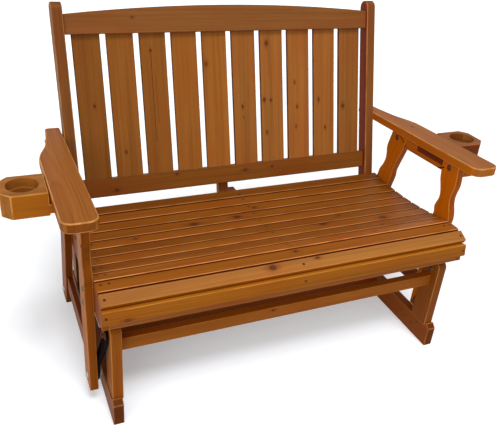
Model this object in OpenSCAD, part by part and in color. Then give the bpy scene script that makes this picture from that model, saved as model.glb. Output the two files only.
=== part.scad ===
// Wooden patio glider: a two-seat slatted bench hung on four steel swing arms
// from a low base of two runners. Millimetres. X runs to the right as seen from
// the front, Y to the back and Z up. Sizes along Y are counted from the front of
// the runners, then the whole part is moved so that its origin is the bottom centre.

/* [Base] */
// Width over the two runners
base_w = 1128; // [1060:1:1400]
// Length of a runner
runner_len = 704; // [680:1:820]
// Thickness of a runner
runner_t = 31; // [26:1:38]
// Height of a runner
runner_h = 77; // [66:1:84]
// Height of the toe's front face
toe_face_h = 72; // [50:1:76]
// Height of the toe's flat top
toe_h = 86; // [85:1:96]
// Depth of the toe's slanted top
toe_slant = 16; // [10:1:19]
// Front to back width of a base post
post_w = 76; // [66:1:90]
// Thickness of a base post
post_t = 31; // [26:1:34]
// Height of a base post's top over the ground
post_top = 330; // [322:1:334]
// Distance from the runner's end to the post
post_set = 20; // [20:1:36]
// How far a post stands inside the runner's outer face
post_inset = 4; // [3:1:8]
// Radius of a post's outer top corner
post_round = 18; // [6:1:28]
// Thickness of the tenon under a post
tenon_t = 15; // [10:1:18]
// Width of the tenon under a post
tenon_w = 46; // [30:1:56]
// Length of the tenon under a post
tenon_len = 45; // [25:1:55]
// Height of the front and rear base rails
base_rail_h = 41; // [30:1:48]
// Thickness of the front and rear base rails
base_rail_t = 28; // [20:1:34]
// Underside of the front and rear base rails over the ground
base_rail_z = 232; // [150:1:236]
// Distance from a post's outer edge to the face of its rail
base_rail_set = 27; // [10:1:30]
// Height of the low centre rail between the runners
low_rail_h = 65; // [40:1:66]
// Thickness of the low centre rail
low_rail_t = 25; // [18:1:34]
// Distance from the runner's front to the low centre rail
low_rail_y = 325; // [250:1:400]

/* [Swing arms] */
// Upper pivot behind the post's outer edge
pivot_set = 37; // [32:1:46]
// Upper pivot under the post's top
pivot_down = 38; // [34:1:60]
// Distance along Y between an arm's two pivots
swing_run = 75; // [66:1:84]
// Drop between an arm's two pivots
swing_drop = 202; // [196:1:208]
// Width of the flat steel
steel_w = 40; // [34:1:44]
// Thickness of the flat steel
steel_t = 5; // [4:0.5:6]
// Length of the flat end before the arm bends outwards
flat_len = 30; // [27:1:40]
// Length of the slanted stretch of the arm
slant_len = 100; // [60:1:120]
// Diameter of a pivot bolt
pivot_d = 10; // [8:0.5:12]
// Radial clearance of a pivot bolt in its arm
pivot_gap = 0.05; // [0.02:0.01:0.1]
// Radial clearance of the loose rear lower pivot
loose_gap = 4; // [3.9:0.1:4.6]
// How far the loose pivot's bolt sits behind the middle of its hole
loose_shift = 3.4; // [3.2:0.1:3.6]

/* [Legs] */
// Thickness of a bench leg
leg_t = 25; // [20:1:32]
// Clearance of the legs over the ground
leg_foot = 55; // [48:1:60]
// Front edge of the front leg before its pivot
front_leg_set = 33; // [29:1:35]
// Width of the front leg under the seat
front_leg_w = 76; // [72:1:80]
// Front edge of the rear leg's foot before its pivot
rear_leg_set = 36.4; // [32.4:0.2:40]
// Width of the rear leg under the seat
rear_leg_w = 80; // [76:1:84]
// Rearward slope of the rear leg, run over rise
rear_leg_slope = 0.272; // [0.26:0.002:0.284]
// Underside of the side stretcher between the legs
side_rail_z = 130; // [126:1:160]
// Height of the side stretcher
side_rail_h = 57; // [40:1:70]
// Thickness of the side stretcher
side_rail_t = 17; // [12:1:20]
// How far the side stretcher stands outside the leg's inner face
side_rail_set = 1.5; // [1:0.5:3]

/* [Seat] */
// Width over the seat's side rails
seat_w = 1170; // [1164:1:1300]
// Thickness of a side rail
rail_t = 19; // [16:1:20]
// Thickness of the middle rail
mid_rail_t = 30; // [20:1:40]
// Lowest edge of the rails
rail_z = 340; // [337:1:344]
// How far the rails reach behind the last slat's middle
rail_over = 88; // [82:1:100]
// Thickness of a seat slat
slat_t = 18; // [15:1:19]
// Width of a flat seat slat
slat_w = 44; // [40:1:46]
// Pitch of the flat seat slats
slat_pitch = 50; // [49:0.5:51]
// Middle of the first flat slat
slat_y0 = 60; // [59:1:61]
// Lowest point of the seat's hollow
seat_low_z = 417; // [414:1:420]
// Distance of the lowest point from the front
seat_low_y = 396; // [380:1:410]
// Radius of the seat's hollow
seat_radius = 1300; // [1200:10:1500]
// Top of the first flat slat
first_slat_z = 452; // [448:1:454]
// Width of the sloped slat
nose_w = 38; // [34:1:38]
// Downward tilt of the sloped slat
nose_tilt = 28; // [24:1:30]
// Height of the upright front slat
front_slat_h = 39; // [34:1:39]
// Backward lean of the upright front slat
front_lean = 9; // [6:1:10]
// Thickness of the apron behind the front slat
apron_t = 25; // [18:1:27]
// How far the apron and rails reach below the front slat
apron_drop = 23; // [20:1:34]
// Rounding of the slats' edges
slat_round = 3; // [1:0.5:5]
// Width of the cleats inside the side rails
cleat_w = 25; // [20:1:30]
// Height of the cleats inside the side rails
cleat_h = 25; // [20:1:30]

/* [Back] */
// Backward lean of the back in degrees
back_lean = 15.7; // [14:0.1:17]
// Front edge of a back post behind the last slat's middle, at the height of back_z
back_set = 20; // [18:1:24]
// Height at which back_set is measured
back_z = 438; // [436:1:442]
// Thickness of a back post across the bench
back_post_t = 34; // [28:1:36]
// Depth of a back post
back_post_d = 48; // [46:1:54]
// How far a back post laps the side rail's thickness
back_post_lap = 4; // [2:1:6]
// Length of a back post below back_z
back_post_down = 60; // [50:1:66]
// Length of a back post up to the middle of its round top
back_post_up = 601; // [560:1:700]
// Underside of the top rail along the back
crest_u = 529; // [490:1:530]
// Height of the top rail at its ends
crest_end_h = 60; // [50:1:70]
// Rise of the top rail's arch
crest_rise = 24; // [10:1:34]
// Thickness of the top rail
crest_t = 32; // [26:1:34]
// How far the top rail lies behind the posts' faces
crest_set = 8; // [6:1:10]
// Underside of the lower back rail along the back
low_back_u = 14; // [10:1:30]
// Height of the lower back rail
low_back_h = 60; // [50:1:70]
// Thickness of the lower back rail
low_back_t = 28; // [24:1:30]
// How far the lower back rail lies behind the posts' faces
low_back_set = 16; // [12:1:17]
// Width of a back slat
back_slat_w = 86.4; // [70:0.2:92]
// Pitch of the back slats
back_slat_pitch = 105; // [102:0.1:106]
// Thickness of a back slat
back_slat_t = 12; // [10:1:16]
// How far the back slats lie behind the posts' faces
back_slat_set = 22; // [21:1:24]
// Depth of a back slat in its rail
slat_housing = 10; // [6:1:14]
// Width of the brace behind the lower back rail
brace_w = 39; // [30:1:50]
// Thickness of the brace
brace_t = 18; // [14:1:20]
// How far the brace's top stays under the lower back rail's top
brace_down = 8; // [4:1:16]

/* [Arms] */
// Height of the arm's top at its front end
arm_z = 676; // [670:1:682]
// Front end of the arm
arm_y = 16; // [10:1:30]
// Length of the arm
arm_len = 678; // [668:1:690]
// Drop of the arm towards the back in degrees
arm_pitch = 2.6; // [2:0.1:3.2]
// Thickness of the arm
arm_t = 28; // [22:1:32]
// Width of the arm in front
arm_w = 93; // [91:1:103]
// Width of the arm's tail
arm_tail_w = 47; // [43:1:51]
// Radius of the arm's front corners
arm_round = 30; // [15:1:40]
// Radius of the tail's outer corner
tail_round = 12; // [6:1:16]
// Height of the board between the legs under the arm
arm_apron_h = 45; // [44:1:48]
// Thickness of the board between the legs under the arm
arm_apron_t = 18; // [12:1:21]
// Width of the outer bearer under the arm
bearer_w = 40; // [36:1:44]
// Height of the outer bearer under the arm
bearer_h = 42; // [38:1:46]
// How far the outer bearer starts behind the front leg's front edge
bearer_set = 9; // [5:1:17]
// How far the outer bearer ends behind the rear leg's front edge
bearer_over = 67.4; // [61:0.2:72]
// Distance from the bare plate on the right arm's inner side to the rear leg
plate_end = 60; // [50:1:90]
// Height of the bare plate
plate_h = 18; // [12:1:20]
// Thickness of the bare plate
plate_t = 1.2; // [0.8:0.1:2]

/* [Cup holders] */
// Width of a cup holder beyond the arm
cup_w = 119; // [110:1:130]
// Front to back depth of a cup holder
cup_d = 119; // [112:1:124]
// Front face of a cup holder
cup_y = 212; // [200:1:240]
// Top of a cup holder
cup_z = 663; // [657:1:665]
// Height of a cup holder
cup_h = 69; // [64:1:80]
// Cut corners of a cup holder
cup_corner = 25; // [10:1:30]
// Diameter of the wide upper well
well_d = 84; // [74:1:90]
// Depth of the wide upper well
well_depth = 26; // [16:1:30]
// Diameter of the narrow lower well
well_low_d = 70; // [60:1:73]
// Depth of both wells together
well_total = 50; // [40:1:52]
// Distance from the arm's edge to the middle of the well
well_set = 60; // [56:1:62]
// Seam between the arm and the cup holder
cup_seam = 2; // [1:0.5:4]
// Height of the tongue that joins a cup holder to the bearer
tongue_h = 28; // [20:1:32]
// Height of the tongue's underside over the cup holder's
tongue_z = 6; // [4:1:10]

/* [Fasteners] */
// Diameter of the bolts in legs and arms
bolt_d = 8; // [6:0.5:9]
// Diameter of a round bolt head
head_d = 20; // [18:1:24]
// Height of a round bolt head
head_h = 6; // [4:0.5:8]
// Diameter of a wood screw's shank
screw_d = 4; // [3:0.5:5]
// Diameter of a wood screw's head
screw_head_d = 8; // [7:0.5:9]
// Length of a seat's wood screw
screw_len = 28; // [24:1:30]
// Length of a wood screw in a runner
runner_screw_len = 25; // [20:1:28]
// Length of a screw through a base post into its rail
rail_screw_len = 60; // [45:1:70]
// Width of a pivot nut over its corners
nut_d = 18; // [17:0.5:20]
// Diameter of a pivot nut's flange
flange_d = 27; // [26.4:0.2:30]
// Clearance round a fixed bolt or screw
fixed_gap = 0.2; // [0.1:0.05:0.4]

/* [Hidden] */
// Clearance between parts that turn on each other
side_gap = 0.3;
// Gap at the ends of boards that are fitted between others
end_gap = 0.5;
// Facets of a full circle
fine = 48;
// Facets of the top rail's very large circle
arch_fine = 720;
// Thickness of the washer beside an arm
washer_t = 1.5;
// Thickness of the spacer between a base post and its arm
spacer_t = 2;
// Height of a nut and thickness of its flange
nut_h = 8;
flange_t = 2;
// Height of a wood screw's conical head
cone_h = 3;
// How far a cutter reaches past a face
past = 1;
// How far a bolt's end stands past its nut
bolt_past = 2.5;
// How far a screw's head sinks under the face
screw_sink = 0.3;
// Distances of the slats' screws from the rail's inner face, outwards and inwards
screw_out = 5;
screw_in = 17;
// Extra distance outwards of the sloped and the upright slat's screws
nose_screw_out = 2;
front_screw_out = 4;
// Distance of the slats' screws behind the slats' middle, and on the last slat before it
screw_aside = 8;
last_aside = 11;
// Gap and step between the sloped slat and the first flat slat
nose_gap = 1.4;
nose_step = 1;
// Height of the apron over the upright slat's top, in front and behind
apron_over = 3.5;
apron_over_back = 22.5;
// Corners cut off the rails' rear ends, above and below
rail_top_cut = 8;
rail_low_cut = 28;
rail_low_run = 50;
// Where the rails' lower edge starts to rise towards the front
rail_rise_y = 55;
rail_step_y = 30;
rail_tip_y = 8;
// Front and rear ends of the cleats
cleat_front = 48;
cleat_rear_set = 4;
// Slant of the screws between the arm's boards and the legs
toe_slant_deg = 28;
// Seat of the tail's bolt head outside the tail's edge, and where the bolt ends in the post
tail_seat = 4.5;
tail_stop = 6;
// How far the tail's bolt lies behind the foot of the back
tail_bolt_set = 78;
// Heights of the seat's bolts over the rails' lowest edge: two in a front leg, one row in a rear leg
seat_bolt_high = 74;
seat_bolt_low = 24;
rear_bolt_up = 22;
// How far the arm's bolts and slanted screws lie under its underside at each leg
arm_bolt_down = 23.5;
front_toe_down = 33;
rear_toe_down = 25.5;
// Wood left at the end of a blind hole
blind = 5;
// Distance from the front leg to the bare plate, and from the board's upper edge
plate_gap = 12;
plate_down = 9.5;

flat_slats = 10;
back_slats = 10;
half_base = base_w / 2;
half_seat = seat_w / 2;
post_x = half_base - post_inset;
back_y = slat_y0 + (flat_slats - 1) * slat_pitch + back_set;
rail_end_y = back_y - back_set + rail_over;
front_pivot_y = post_set + pivot_set;
pivot_z = post_top - pivot_down;
low_pivot_y = front_pivot_y + swing_run;
low_pivot_z = pivot_z - swing_drop;
loose_pivot_y = runner_len - low_pivot_y + loose_shift;
front_leg_y = low_pivot_y - front_leg_set;
rear_leg_y = loose_pivot_y - rear_leg_set;
swing_len = norm([swing_run, swing_drop]);
swing_angle = atan2(swing_run, swing_drop);
arm_out = half_seat - washer_t - side_gap;
arm_in = post_x + spacer_t + side_gap;
joggle = arm_out - steel_t - arm_in;
leg_out = half_seat + leg_t;
rail_in = half_seat - rail_t;
back_in = rail_in - back_post_t + back_post_lap;
back_out = back_in + back_post_t;
armrest_in = back_out + end_gap;
armrest_out = armrest_in + arm_w;
cup_in = armrest_out + cup_seam;
bearer_out = leg_out + bearer_w;
crest_r = (pow(back_in, 2) + pow(crest_rise, 2)) / (2 * crest_rise);
dome_r = back_post_d / 2;

// Lower front corner of the upright front slat
front_y = -17;
front_z = 381.5;

// The part's foremost and rearmost points give the shift to the bottom centre
fore_y = front_y + slat_round * (cos(front_lean) + sin(front_lean) - 1);
rear_y = back_y + back_post_up * sin(back_lean) + dome_r * cos(back_lean) + dome_r;
mid_y = (fore_y + rear_y) / 2;

// Heights and slopes of the seat's hollow
function hollow_z(y) = seat_low_z + pow(y - seat_low_y, 2) / (2 * seat_radius);
function slat_y(i) = slat_y0 + (i - 1) * slat_pitch;
function slat_z(i) = i == 1 ? first_slat_z : hollow_z(slat_y(i));
function slat_tilt(i) = i == 1 ? 0 : atan((slat_y(i) - seat_low_y) / seat_radius);

// A point of a tilted board, from its anchor, along its width and its height
function tilted(y, z, a, along, up) = [y + along * cos(a) - up * sin(a), z + along * sin(a) + up * cos(a)];
function slat_point(i, along, up) = tilted(slat_y(i), slat_z(i), slat_tilt(i), along, up);
function front_point(v, u) = tilted(front_y, front_z, -front_lean, v, u);

// The sloped slat's upper rear corner meets the first flat slat's front edge
nose_y = slat_y0 - slat_w / 2 - slat_t * sin(nose_tilt) - nose_gap;
nose_z = first_slat_z + nose_step;
function nose_point(along, up) = tilted(nose_y, nose_z, nose_tilt, along, up);
// Height of the sloped slat's underside at a place along Y
function nose_under(y) = nose_point(0, -slat_t)[1] + (y - nose_point(0, -slat_t)[0]) * tan(nose_tilt);

// Heights of the arm's top and underside
function arm_top(y) = arm_z - (y - arm_y) * tan(arm_pitch);
function arm_under(y) = arm_top(y) - arm_t / cos(arm_pitch);

// A smooth curve through a list of points
function curve_point(a, b, c, d, t) =
    0.5 * (2 * b + (c - a) * t + (2 * a - 5 * b + 4 * c - d) * t * t + (3 * b - a - 3 * c + d) * t * t * t);
function curve(p, steps = 5) = let(n = len(p)) [
    for (i = [0:n - 2], k = [0:steps - 1])
        curve_point(p[max(i - 1, 0)], p[i], p[i + 1], p[min(i + 2, n - 1)], k / steps),
    p[n - 1]
];
function backwards(p) = [for (i = [len(p) - 1:-1:0]) p[i]];
function arc(x, y, r, from, to, steps = 8) =
    [for (i = [0:steps]) let(a = from + (to - from) * i / steps) [x + r * cos(a), y + r * sin(a)]];

// Placing and mirroring
module placed() translate([0, -mid_y, 0]) children();
module on_side(side) mirror([side < 0 ? 1 : 0, 0, 0]) children();
module rear_half() translate([0, runner_len, 0]) mirror([0, 1, 0]) children();
module at_end(rear) if (rear) rear_half() children(); else children();
// A profile drawn in Y and Z, drawn out from x0 to x1
module across(x0, x1) translate([x0, 0, 0]) rotate([90, 0, 90]) linear_extrude(x1 - x0) children();
module along_x(x0, x1, y, z, r)
    translate([x0, y, z]) rotate([0, 90, 0]) cylinder(h = x1 - x0, r = r, $fn = fine);
module leaning() translate([0, back_y, back_z]) rotate([-back_lean, 0, 0]) children();
module on_arm() translate([0, arm_y, arm_z]) rotate([-arm_pitch, 0, 0]) children();

// A rectangle with rounded corners about its middle
module bar(w, h, r) {
    square([w - 2 * r, h], center = true);
    square([w, h - 2 * r], center = true);
    for (x = [-1, 1], y = [-1, 1]) translate([x * (w / 2 - r), y * (h / 2 - r)]) circle(r, $fn = fine);
}

// Fasteners
module screw_shape(length = screw_len, gap = 0) {
    rotate([180, 0, 0]) cylinder(h = cone_h, r1 = screw_head_d / 2 + gap, r2 = screw_d / 2 + gap, $fn = fine);
    translate([0, 0, -length - gap])
        cylinder(h = length - cone_h + 2 * gap, r = screw_d / 2 + gap, $fn = fine);
}
module screw_cut(length = screw_len) {
    screw_shape(length, fixed_gap);
    cylinder(h = past, r = screw_head_d / 2 + fixed_gap, $fn = fine);
}
// A bolt along +X whose round head's flat side is at the origin
module bolt_shape(length, d) {
    difference() {
        scaled_ball();
        translate([0, -head_d, -head_d]) cube(2 * head_d);
    }
    rotate([0, 90, 0]) cylinder(h = length, r = d / 2, $fn = fine);
}
module scaled_ball() {
    ball_r = (pow(head_d / 2, 2) + pow(head_h, 2)) / (2 * head_h);
    translate([ball_r - head_h, 0, 0]) sphere(ball_r, $fn = fine);
}
module nut_shape() {
    difference() {
        union() {
            rotate([0, 90, 0]) cylinder(h = flange_t, r = flange_d / 2, $fn = fine);
            rotate([0, 90, 0]) cylinder(h = nut_h, r = nut_d / 2, $fn = 6);
        }
        along_x(-past, nut_h + past, 0, 0, pivot_d / 2 + fixed_gap);
    }
}
module washer_shape(t) difference() {
    along_x(0, t, 0, 0, flange_d / 2);
    along_x(-past, t + past, 0, 0, pivot_d / 2 + fixed_gap);
}

// Base
runner_screws = [[61, 59], [89, 36], [130, 37], [149, 48]];
module runner_screw_places() for (end = [false, true], p = runner_screws) at_end(end)
    translate([half_base - runner_t, p[0], p[1]]) rotate([0, -90, 0]) children();

// Screws from the posts' outer faces into the ends of the rails
module rail_screw_places() for (side = [-1, 1], end = [false, true]) on_side(side) at_end(end)
    translate([post_x, post_set + base_rail_set + base_rail_t / 2, base_rail_z + base_rail_h / 2])
        rotate([0, 90, 0]) translate([0, 0, -screw_sink]) children();

module tenon_box(gap) translate([post_x - post_t / 2 - tenon_t / 2 - gap,
    post_set + post_w / 2 - tenon_w / 2 - gap, runner_h - tenon_len - gap])
    cube([tenon_t + 2 * gap, tenon_w + 2 * gap, tenon_len + gap + (gap > 0 ? past : 0)]);

module runner(side) on_side(side) color("peru") difference() {
    across(half_base - runner_t, half_base) {
        front = [[0, 0], [0, toe_face_h], [toe_slant, toe_h], [post_set, toe_h], [post_set, runner_h]];
        polygon(concat(front, [for (p = backwards(front)) [runner_len - p[0], p[1]]]));
    }
    for (end = [false, true]) at_end(end) tenon_box(end_gap / 2);
    runner_screw_places() screw_cut(runner_screw_len);
}

module base_post(side, rear) color("peru") difference() {
    on_side(side) at_end(rear) base_post_body();
    rail_screw_places() screw_cut(rail_screw_len);
}
module base_post_body() difference() {
    union() {
        across(post_x - post_t, post_x) {
            translate([post_set, runner_h]) difference() {
                square([post_w, post_top - runner_h]);
                translate([0, post_top - runner_h]) difference() {
                    translate([-past, -post_round]) square([post_round + past, post_round + past]);
                    translate([post_round, -post_round]) circle(post_round, $fn = fine);
                }
            }
        }
        tenon_box(0);
    }
    along_x(post_x - post_t - past, post_x + past, front_pivot_y, pivot_z, pivot_d / 2 + fixed_gap);
    for (p = runner_screws) translate([half_base - runner_t, p[0], p[1]]) rotate([0, -90, 0])
        screw_cut(runner_screw_len);
}

module base_rail(rear) color("peru") difference() {
    at_end(rear) across(-(post_x - post_t), post_x - post_t)
        translate([post_set + base_rail_set + base_rail_t / 2, base_rail_z + base_rail_h / 2])
            bar(base_rail_t, base_rail_h, slat_round);
    rail_screw_places() screw_cut(rail_screw_len);
}

module base_rail_centre() color("peru")
    across(-(half_base - runner_t), half_base - runner_t)
        translate([low_rail_y + low_rail_t / 2, runner_h - low_rail_h / 2])
            bar(low_rail_t, low_rail_h, slat_round);

// Swing arms, drawn hanging straight down from the upper pivot, then turned
module swing_arm(side, rear) on_side(side) at_end(rear) color("#1c1c1e")
    translate([0, front_pivot_y, pivot_z]) rotate([swing_angle, 0, 0]) difference() {
        intersection() {
            across(arm_in - past, arm_out + past) {
                translate([0, -swing_len / 2]) square([steel_w, swing_len], center = true);
                for (z = [0, -swing_len]) translate([0, z]) circle(steel_w / 2, $fn = fine);
            }
            translate([0, steel_w, 0]) rotate([90, 0, 0]) linear_extrude(2 * steel_w) {
                inner = [[arm_in, steel_w], [arm_in, -flat_len], [arm_in + joggle, -flat_len - slant_len],
                    [arm_in + joggle, -swing_len - steel_w]];
                polygon(concat(inner, [for (p = backwards(inner)) p + [steel_t, 0]]));
            }
        }
        along_x(arm_in - past, arm_out + past, 0, 0, pivot_d / 2 + pivot_gap);
        along_x(arm_in - past, arm_out + past, 0, -swing_len, pivot_d / 2 + (rear ? loose_gap : pivot_gap));
    }

// Legs: a straight foot and a waved top, from the straight edge's offsets at some heights
front_leg_front = [[430, 0], [452, -4], [478, 0], [500, 8], [522, 12], [545, 9], [566, 4], [582, 3],
    [605, 5], [625, 7]];
front_leg_rear = [[425, 0], [447, -5], [468, -1], [485, -6], [502, -12], [520, -13], [545, -6],
    [570, 3], [594, 7]];
rear_leg_front = [[420, 0], [455, 1], [478, 7], [505, 6], [528, 4], [552, 2], [580, 0]];
rear_leg_rear = [[405, 0], [430, -4], [455, -3], [480, -11], [507, -12], [527, -6], [556, 6], [590, 8]];
leg_over = 700;

function leg_line(z, y0, slope) = y0 - (z - leg_foot) * slope;
function leg_edge(waves, y0, slope) =
    [for (p = concat([[leg_foot, 0]], curve(waves), [[leg_over, waves[len(waves) - 1][1]]]))
        [leg_line(p[0], y0, slope) + p[1], p[0]]];

module leg_outline(waves_front, waves_rear, y0, w, slope) difference() {
    polygon(concat(leg_edge(waves_front, y0, slope), backwards(leg_edge(waves_rear, y0 + w, slope))));
    polygon([[0, arm_under(0)], [runner_len, arm_under(runner_len)], [runner_len, leg_over + past],
        [0, leg_over + past]]);
}
module front_leg_outline() leg_outline(front_leg_front, front_leg_rear, front_leg_y, front_leg_w, 0);
module rear_leg_outline() leg_outline(rear_leg_front, rear_leg_rear, rear_leg_y, rear_leg_w, rear_leg_slope);

// A place in Y and Z on a leg, from its front edge, and the same on the slanted rear leg
function on_front(y, z) = [front_leg_y + y, z];
function on_rear(y, z) = [leg_line(z, rear_leg_y, rear_leg_slope) + y, z];

// Places of the bolts: the front legs' heads lie outside, the rear legs' inside the rail
front_bolt_places = [on_front(17, rail_z + seat_bolt_high), on_front(25, rail_z + seat_bolt_low)];
rear_bolt_places = [for (y = [18.5, 60.5]) on_rear(y, rail_z + rear_bolt_up)];
// Heights of the arm's underside where the legs meet it
front_top_z = arm_under(front_leg_y);
rear_top_z = arm_under(leg_line(arm_z, rear_leg_y, rear_leg_slope));
arm_bolt_places = [on_front(49, front_top_z - arm_bolt_down), on_rear(51.4, rear_top_z - arm_bolt_down)];
toe_screw_places = [
    on_front(front_leg_w - 1.5, front_top_z - front_toe_down), on_rear(9, rear_top_z - rear_toe_down)
];
bearer_y = front_leg_y + bearer_set;
bearer_end_y = on_rear(bearer_over, rear_top_z - arm_bolt_down)[0];
tail_bolt_y = back_y + tail_bolt_set;
tail_bolt_z = arm_under(tail_bolt_y) + arm_t / 2;
tail_head_x = armrest_in + arm_tail_w + tail_seat;

module leg(side, rear) on_side(side) color("chocolate") difference() {
    across(half_seat, leg_out) if (rear) rear_leg_outline(); else front_leg_outline();
    for (p = concat(front_bolt_places, arm_bolt_places))
        along_x(half_seat - past, leg_out + past, p[0], p[1], bolt_d / 2 + fixed_gap);
    for (p = rear_bolt_places) along_x(half_seat - past, leg_out - blind, p[0], p[1], bolt_d / 2 + fixed_gap);
    bench_pivot_places() along_x(-leg_t - past, past, 0, 0, pivot_d / 2 + fixed_gap);
    toe_screws() screw_cut();
}

// Middle of the bench's pivot bolts on the legs' outer faces
module bench_pivot_places() {
    translate([leg_out, low_pivot_y, low_pivot_z]) children();
    translate([leg_out, loose_pivot_y, low_pivot_z]) children();
}

module side_stretcher(side) on_side(side) color("chocolate") {
    y0 = front_leg_y + front_leg_w;
    z1 = side_rail_z + side_rail_h;
    across(half_seat + side_rail_set, half_seat + side_rail_set + side_rail_t) polygon([
        [y0, side_rail_z], [leg_line(side_rail_z, rear_leg_y, rear_leg_slope), side_rail_z],
        [leg_line(z1, rear_leg_y, rear_leg_slope), z1], [y0, z1]
    ]);
}

// Seat
module slat_profile(i) translate([slat_y(i), slat_z(i)]) rotate(slat_tilt(i))
    translate([0, -slat_t / 2]) bar(slat_w, slat_t, slat_round);

// Screw heads along a slat: two at each end and one over the middle rail
screw_x = [-(rail_in + screw_out), -(rail_in - screw_in), 0, rail_in - screw_in, rail_in + screw_out];
module slat_screws(i) for (x = screw_x) translate([x, slat_y(i), slat_z(i)]) rotate([slat_tilt(i), 0, 0])
    translate([0, i == flat_slats ? -last_aside : screw_aside, -screw_sink]) children();
module nose_screws() for (s = [-1, 0, 1]) translate([s * (rail_in + screw_out + nose_screw_out), 0, 0])
    translate([0, nose_point(-nose_w / 2, 0)[0], nose_point(-nose_w / 2, 0)[1]]) rotate([nose_tilt, 0, 0])
        translate([0, 0, -screw_sink]) children();
module front_screws() for (s = [-1, 0, 1]) translate([s * (rail_in + screw_out + front_screw_out), 0, 0])
    translate([0, front_point(0, front_slat_h / 2)[0], front_point(0, front_slat_h / 2)[1]])
        rotate([90 - front_lean, 0, 0]) translate([0, 0, -screw_sink]) children();
module all_slat_screws() {
    for (i = [1:flat_slats]) slat_screws(i) children();
    nose_screws() children();
    front_screws() children();
}
module toe_screws() for (p = toe_screw_places) translate([half_seat + past, p[0], p[1]])
    rotate([0, p[0] < seat_low_y ? toe_slant_deg - 90 : -toe_slant_deg - 90, 90]) children();

module seat_slat(i) color("sienna") difference() {
    across(-(half_seat - end_gap), half_seat - end_gap) slat_profile(i);
    slat_screws(i) screw_cut();
    if (i == flat_slats) for (side = [-1, 1]) on_side(side) leaning()
        translate([back_in - end_gap, -end_gap, -back_post_down])
            cube([back_post_t + 2 * end_gap, back_post_d, 2 * back_post_down]);
}

module nose_slat() color("sienna") difference() {
    across(-(half_seat - end_gap), half_seat - end_gap) translate([nose_y, nose_z]) rotate(nose_tilt)
        translate([-nose_w / 2, -slat_t / 2]) bar(nose_w, slat_t, slat_round);
    nose_screws() screw_cut();
}

module front_slat() color("sienna") difference() {
    across(-(half_seat - end_gap), half_seat - end_gap) translate([front_y, front_z]) rotate(-front_lean)
        translate([slat_t / 2, front_slat_h / 2]) bar(slat_t, front_slat_h, slat_round);
    front_screws() screw_cut();
}

// The apron's section, from the front slat's back to its own, under the sloped slat
apron_reach = 60;
module apron_outline(reach = 0) {
    low = front_point(slat_t - reach, -apron_drop);
    low_back = front_point(slat_t + apron_t, -apron_drop);
    high_back = front_point(slat_t + apron_t, front_slat_h + apron_over_back);
    high = front_point(slat_t - reach, front_slat_h + apron_over);
    polygon([low, low_back, high_back, high]);
}

// The rails' section: a hollow top under the slats, a nose in front and a straight lower edge
slat_seats = [for (i = [1:flat_slats], s = [-1, 1]) slat_point(i, s * slat_w / 2, -slat_t)];
nose_seats = [nose_point(-nose_w, -slat_t), nose_point(0, -slat_t)];
nose_low = front_point(slat_t, -apron_drop);
nose_high = front_point(slat_t, front_slat_h);
rail_top = slat_seats[len(slat_seats) - 1][1];
rail_bend = [rail_end_y - 0.4 * rail_low_run, rail_z + 0.3 * rail_low_cut];
rail_step = [rail_step_y, rail_z + 0.4 * (nose_low[1] - rail_z)];
module rail_outline() polygon(concat(
    [nose_low, nose_high, [nose_high[0], nose_under(nose_high[0])], nose_seats[1]],
    slat_seats,
    [[rail_end_y - rail_top_cut / 2, rail_top - rail_top_cut / 4], [rail_end_y, rail_top - rail_top_cut],
     [rail_end_y, rail_z + rail_low_cut], rail_bend, [rail_end_y - rail_low_run, rail_z],
     [rail_rise_y, rail_z], rail_step, [rail_tip_y, nose_low[1]]]
));

module seat_rail(side) on_side(side) color("sienna") difference() {
    across(rail_in, half_seat) rail_outline();
    all_slat_screws() screw_cut();
    for (p = concat(front_bolt_places, rear_bolt_places))
        along_x(rail_in - past, half_seat + past, p[0], p[1], bolt_d / 2 + fixed_gap);
}

module seat_rail_middle() color("sienna") difference() {
    across(-mid_rail_t / 2, mid_rail_t / 2) difference() {
        rail_outline();
        apron_outline(reach = apron_reach);
    }
    all_slat_screws() screw_cut();
}

module seat_apron() color("sienna") difference() {
    across(-rail_in, rail_in) difference() {
        apron_outline();
        polygon([[-apron_reach, nose_under(-apron_reach)], [apron_reach, nose_under(apron_reach)],
            [apron_reach, leg_over], [-apron_reach, leg_over]]);
    }
    nose_screws() screw_cut();
    front_screws() screw_cut();
}

module seat_cleats() color("sienna") for (side = [-1, 1]) on_side(side) difference() {
    across(rail_in - cleat_w, rail_in) intersection() {
        difference() {
            rail_outline();
            translate([0, -cleat_h]) rail_outline();
        }
        translate([cleat_front, rail_z])
            square([slat_y(flat_slats) - cleat_rear_set - cleat_front, leg_over - rail_z]);
    }
    all_slat_screws() screw_cut();
}

// Back, drawn upright with its height along Z, then leaned
module back_post(side) color("chocolate") on_side(side) difference() {
    leaning() across(back_in, back_out) {
        translate([0, -back_post_down]) square([back_post_d, back_post_down + back_post_up]);
        translate([dome_r, back_post_up]) circle(dome_r, $fn = fine);
    }
    translate([rail_in, 0, 0]) cube([back_post_t, rear_y, rail_top + end_gap]);
    along_x(back_in + blind, back_out + past, tail_bolt_y, tail_bolt_z, bolt_d / 2 + fixed_gap);
}

function back_slat_x(i) = (i - (back_slats + 1) / 2) * back_slat_pitch;
slat_foot_u = low_back_u + low_back_h - slat_housing;
slat_head_u = crest_u + slat_housing;
module back_slat_cuts() {
    g = fixed_gap;
    for (i = [1:back_slats])
        translate([back_slat_x(i) - back_slat_w / 2 - g, back_slat_set - g, slat_foot_u - g])
            cube([back_slat_w + 2 * g, back_slat_t + 2 * g, slat_head_u - slat_foot_u + 2 * g]);
}

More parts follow.
